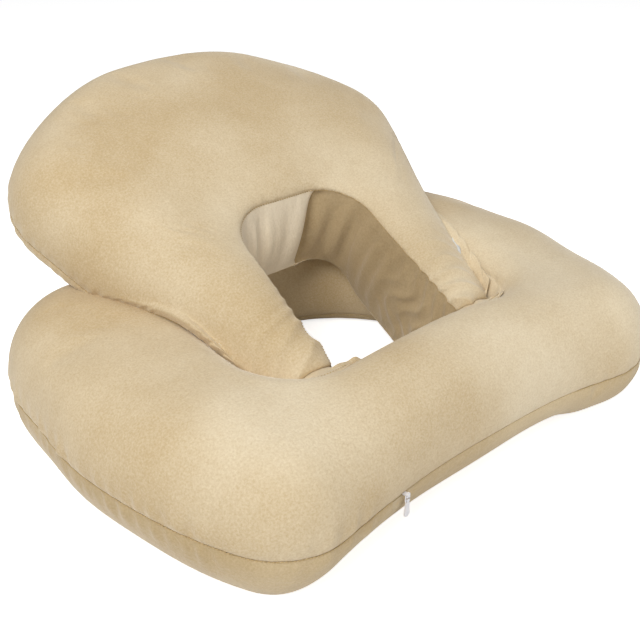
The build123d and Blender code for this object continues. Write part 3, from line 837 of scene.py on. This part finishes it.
# =============================================================================================
# Foot ends. A small piece of velour closes each foot of the arch, sewn in all round.
# =============================================================================================
for side, at in (("right", 0), ("left", LAST)):
    loop = upper_grid[:, at]
    centre = loop.mean(0)
    away = np.array((0, -np.cos(LEAN), -np.sin(LEAN)))
    rings = []
    for share in np.linspace(1, 0.04, 14):
        bulge = 0.004 * np.sqrt(1 - share**2)
        rings.append(centre + (loop - centre) * share + away * bulge)
    cap = np.array(rings)
    if side == "right":
        cap = cap[:, ::-1]
    mesh = grid_mesh(f"foot_end_{side}", cap, False, True)
    piece = bpy.data.objects.new(f"foot_end_{side}_velour", mesh)
    bpy.context.scene.collection.objects.link(piece)
    build = bmesh.new()
    build.from_mesh(piece.data)
    open_edges = [e for e in build.edges if e.is_boundary]
    middle_edges = [e for e in open_edges if (e.verts[0].co - Vector(centre)).length < 0.012]
    bmesh.ops.holes_fill(build, edges=middle_edges)
    build.to_mesh(piece.data)
    build.free()
    finish_panel(piece, "upper_cushion", f"upper_foot_end_{side}", beige_velour)

# =============================================================================================
# Inner cases and filling. Each cushion has a plain white case, sewn shut round loose hollow
# fibre, that slips out through the zip. They lie about a centimetre under the velour.
# =============================================================================================
def plain_cloth(name, colour, scale, strength):
    """Matt cloth, thread or fibre: a fine uneven grain in one colour."""
    stuff = bpy.data.materials.new(name)
    stuff.use_nodes = True
    nodes, links = stuff.node_tree.nodes, stuff.node_tree.links
    shader = nodes["Principled BSDF"]
    shader.inputs["Roughness"].default_value = 0.9
    where = nodes.new("ShaderNodeTexCoord")
    grain = nodes.new("ShaderNodeTexNoise")
    grain.inputs["Scale"].default_value = scale
    grain.inputs["Detail"].default_value = 4
    links.new(where.outputs["Object"], grain.inputs["Vector"])
    ramp = nodes.new("ShaderNodeValToRGB")
    ramp.color_ramp.elements[0].color = (*(0.86 * np.array(colour)), 1)
    ramp.color_ramp.elements[1].color = (*colour, 1)
    links.new(grain.outputs["Fac"], ramp.inputs["Fac"])
    links.new(ramp.outputs["Color"], shader.inputs["Base Color"])
    bump = nodes.new("ShaderNodeBump")
    bump.inputs["Strength"].default_value = strength
    bump.inputs["Distance"].default_value = 0.0005
    links.new(grain.outputs["Fac"], bump.inputs["Height"])
    links.new(bump.outputs["Normal"], shader.inputs["Normal"])
    return stuff


white_lining = plain_cloth("white_lining", (0.82, 0.82, 0.80), 900, 0.3)
hollow_fibre = plain_cloth("hollow_fibre", (0.88, 0.88, 0.87), 260, 0.8)
for cushion, grid, ring in (("base", base_grid, True), ("upper", upper_grid, False)):
    for layer, depth, node, material, slot in (
        ("case", 0.13, "inner_case", white_lining, "case_cloth"),
        ("filling", 0.16, "fibre_fill", hollow_fibre, "fibre"),
    ):
        middle = grid.mean(0)
        shrink = np.full(grid.shape[1], 1 - depth)
        if not ring:
            shrink = shrink * (1 - 0.30 * smooth_step(1 - along_foot / 50))
        inner = middle + (grid - middle) * shrink[None, :, None]
        if not ring:
            inner = rest_on_ring(inner, front_gap * 0.3 + depth * 0.055)
        inner = inner[::2, ::2]
        mesh = grid_mesh(f"{cushion}_{layer}", inner, True, ring)
        if not ring:
            build = bmesh.new()
            build.from_mesh(mesh)
            bmesh.ops.holes_fill(build, edges=[e for e in build.edges if e.is_boundary])
            build.to_mesh(mesh)
            build.free()
        piece = bpy.data.objects.new(f"{cushion}_{layer}", mesh)
        bpy.context.scene.collection.objects.link(piece)
        for face in mesh.polygons:
            face.use_smooth = True
        mesh.materials.append(material)
        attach(piece, f"{cushion}_cushion")
        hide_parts(f"{cushion}_{node}")

# =============================================================================================
# Stitching. The outer seams, the arch's edge and its join are lockstitched in matching polyester
# thread: short stitches, each sunk in the pile at both ends. They stop where a zip begins.
# =============================================================================================
STITCH = 0.0030
STITCH_SHARE = 0.72
THREAD = 0.0005


def stitched(name, path, outward, body, depth=0.0004):
    """A row of stitches along points on the cloth, outward being the cloth's normals there."""
    run = np.concatenate(([0], np.linalg.norm(np.diff(path, axis=0), axis=1).cumsum()))
    count = int(run[-1] / STITCH)
    start = (np.arange(count) + 0.14) * STITCH

    def at(d, of):
        return np.column_stack([np.interp(d, run, of[:, i]) for i in range(3)])

    points, faces = [], []
    a, b, up = at(start, path), at(start + STITCH * STITCH_SHARE, path), at(start, outward)
    for p, q, n in zip(a, b, up):
        n = n / np.linalg.norm(n)
        way = (q - p) / max(np.linalg.norm(q - p), 1e-9)
        side = np.cross(way, n)
        first = len(points)
        for share, size, sink in ((0.0, 0.45, 1.2), (0.2, 1.0, 0.3), (0.8, 1.0, 0.3), (1.0, 0.45, 1.2)):
            centre = p + (q - p) * share + n * (depth - THREAD * sink)
            for turn in range(5):
                angle = 2 * np.pi * turn / 5
                points.append(centre + (side * np.cos(angle) + n * np.sin(angle)) * THREAD * size)
        for k in range(3):
            for turn in range(5):
                j = (turn + 1) % 5
                ring = first + 5 * k
                faces.append((ring + turn, ring + j, ring + 5 + j, ring + 5 + turn))
        faces.append(tuple(first + t for t in range(4, -1, -1)))
        faces.append(tuple(first + 15 + t for t in range(5)))
    mesh = bpy.data.meshes.new(name)
    mesh.from_pydata([tuple(p) for p in points], [], faces)
    piece = bpy.data.objects.new(name, mesh)
    bpy.context.scene.collection.objects.link(piece)
    for face in mesh.polygons:
        face.use_smooth = True
    build = bmesh.new()
    build.from_mesh(mesh)
    bmesh.ops.recalc_face_normals(build, faces=build.faces)
    build.to_mesh(mesh)
    build.free()
    mesh.materials.append(seam_thread)
    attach(piece, body)


seam_thread = plain_cloth("seam_thread", (0.60, 0.44, 0.22), 1500, 0.2)
normal = grid_normals(base_grid)
base_path = np.roll(base_grid[0], AROUND // 2, 0)
base_up = np.roll(normal[0], AROUND // 2, 0)
at_zip = (np.abs(base_path[:, 0]) < 0.122) & (base_path[:, 1] < RING_CENTRE[1] * MM)
first, last = np.nonzero(at_zip)[0][[0, -1]]
stitched("base_seam_stitches_right", base_path[last:], base_up[last:], "base_cushion")
stitched("base_seam_stitches_left", base_path[:first + 1], base_up[:first + 1], "base_cushion")
normal = grid_normals(upper_grid, False)
stitched("arch_seam_stitches", upper_grid[ARCH_SEAM], normal[ARCH_SEAM], "upper_cushion")
at_zip = (np.abs(upper_grid[0, :, 0]) < 0.094) & (upper_grid[0, :, 1] > 0.1)
first, last = np.nonzero(at_zip)[0][[0, -1]]
stitched("crown_seam_stitches_right", upper_grid[0, 26:first + 1], normal[0, 26:first + 1], "upper_cushion")
stitched("crown_seam_stitches_left", upper_grid[0, last:-26], normal[0, last:-26], "upper_cushion")
rows = slice(ARCH_SEAM, BACK_SEAM + 1)
stitched("apex_seam_stitches", upper_grid[rows, JOIN], normal[rows, JOIN], "upper_cushion")

# =============================================================================================
# Foot hinges. Each foot is sewn to the rim of the hole by a short flap of velour, folded
# double, so that the arch tips forward about the rim. One flap runs from rim to foot.
# =============================================================================================
FLAP_IN = 80.0
FLAP_OUT = 124.0
RIM_STEPS = np.linspace(-190.0, -160.0, 60)
for side, sign, column in (("left", -1, LAST), ("right", 1, 0)):
    front_foot = upper_grid[:ARCH_SEAM + 1, column] / MM
    front_foot = front_foot[np.argsort(np.abs(front_foot[:, 0]))]
    lines = []
    for x in np.linspace(FLAP_IN, FLAP_OUT, 30) * sign:
        heights = base_top_height(np.column_stack((np.full(60, x), RIM_STEPS)))
        pick = np.abs(heights - (RIM_TOP + 6)).argmin()
        rim = np.array((x, RIM_STEPS[pick], heights[pick] + 0.7))
        foot = np.array([np.interp(abs(x), np.abs(front_foot[:, 0]), front_foot[:, i]) for i in (0, 1, 2)])
        foot = foot + (0, 1.5, -0.5)
        share = np.linspace(0, 1, 12)[:, None]
        lines.append(rim * (1 - share) + foot * share - 1.6 * np.sin(np.pi * share) * (0, -0.3, 1))
    sheet = np.array(lines) * MM
    if sign < 0:
        sheet = sheet[::-1]
    mesh = grid_mesh(f"foot_flap_{side}", sheet, False, False)
    piece = bpy.data.objects.new(f"foot_flap_{side}", mesh)
    bpy.context.scene.collection.objects.link(piece)
    for face in mesh.polygons:
        face.use_smooth = True
    thick = piece.modifiers.new("double", "SOLIDIFY")
    thick.thickness = 0.0016
    thick.offset = 0
    bpy.context.view_layer.objects.active = piece
    bpy.ops.object.modifier_apply(modifier="double")
    mesh.materials.append(beige_velour)
    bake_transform(piece)
    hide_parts(f"hinge_rim_tape_{side}", f"hinge_foot_flap_{side}")
    seam_path = sheet[:, 2]
    up = np.cross(np.gradient(sheet, axis=0)[:, 2], np.gradient(sheet, axis=1)[:, 2])
    up = up * np.sign(up[:, 2:])
    stitched(f"flap_stitches_{side}", seam_path, up, "base_cushion", 0.0012)

# =============================================================================================
# Zips. A beige nylon coil zip is hidden in the waist seam and in the crown seam. The slider,
# its wire bail and the teardrop pull are enamelled white; the tapes and coils match the velour.
# =============================================================================================
def enamel(name, colour, gloss):
    """Smooth enamel or bright wire, with faint wear."""
    stuff = bpy.data.materials.new(name)
    stuff.use_nodes = True
    nodes, links = stuff.node_tree.nodes, stuff.node_tree.links
    shader = nodes["Principled BSDF"]
    shader.inputs["Base Color"].default_value = (*colour, 1)
    shader.inputs["Coat Weight"].default_value = 0.5
    shader.inputs["Coat Roughness"].default_value = 0.12
    where = nodes.new("ShaderNodeTexCoord")
    wear = nodes.new("ShaderNodeTexNoise")
    wear.inputs["Scale"].default_value = 700
    wear.inputs["Detail"].default_value = 3
    links.new(where.outputs["Object"], wear.inputs["Vector"])
    spread = nodes.new("ShaderNodeMapRange")
    spread.inputs["To Min"].default_value = gloss
    spread.inputs["To Max"].default_value = gloss + 0.2
    links.new(wear.outputs["Fac"], spread.inputs["Value"])
    links.new(spread.outputs["Result"], shader.inputs["Roughness"])
    bump = nodes.new("ShaderNodeBump")
    bump.inputs["Strength"].default_value = 0.08
    bump.inputs["Distance"].default_value = 0.0002
    links.new(wear.outputs["Fac"], bump.inputs["Height"])
    links.new(bump.outputs["Normal"], shader.inputs["Normal"])
    return stuff


white_enamel = enamel("white_enamel", (0.84, 0.83, 0.86), 0.25)
bright_wire = enamel("bright_wire", (0.86, 0.85, 0.84), 0.3)
zip_tape = plain_cloth("zip_tape", (0.62, 0.50, 0.32), 1200, 0.4)
zip_coil = plain_cloth("zip_coil", (0.66, 0.55, 0.38), 2400, 0.6)
for cushion in ("base", "upper"):
    for part, material in (
        ("zip_tape_upper", zip_tape),
        ("zip_tape_lower", zip_tape),
        ("zip_coil_upper", zip_coil),
        ("zip_coil_lower", zip_coil),
        ("zip_top_stop", bright_wire),
        ("zip_bottom_stop", bright_wire),
        ("zip_slider", white_enamel),
        ("zip_bail", white_enamel),
        ("zip_pull_tab", white_enamel),
    ):
        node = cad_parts[f"{cushion}_{part}"]
        node.data.materials.clear()
        node.data.materials.append(material)
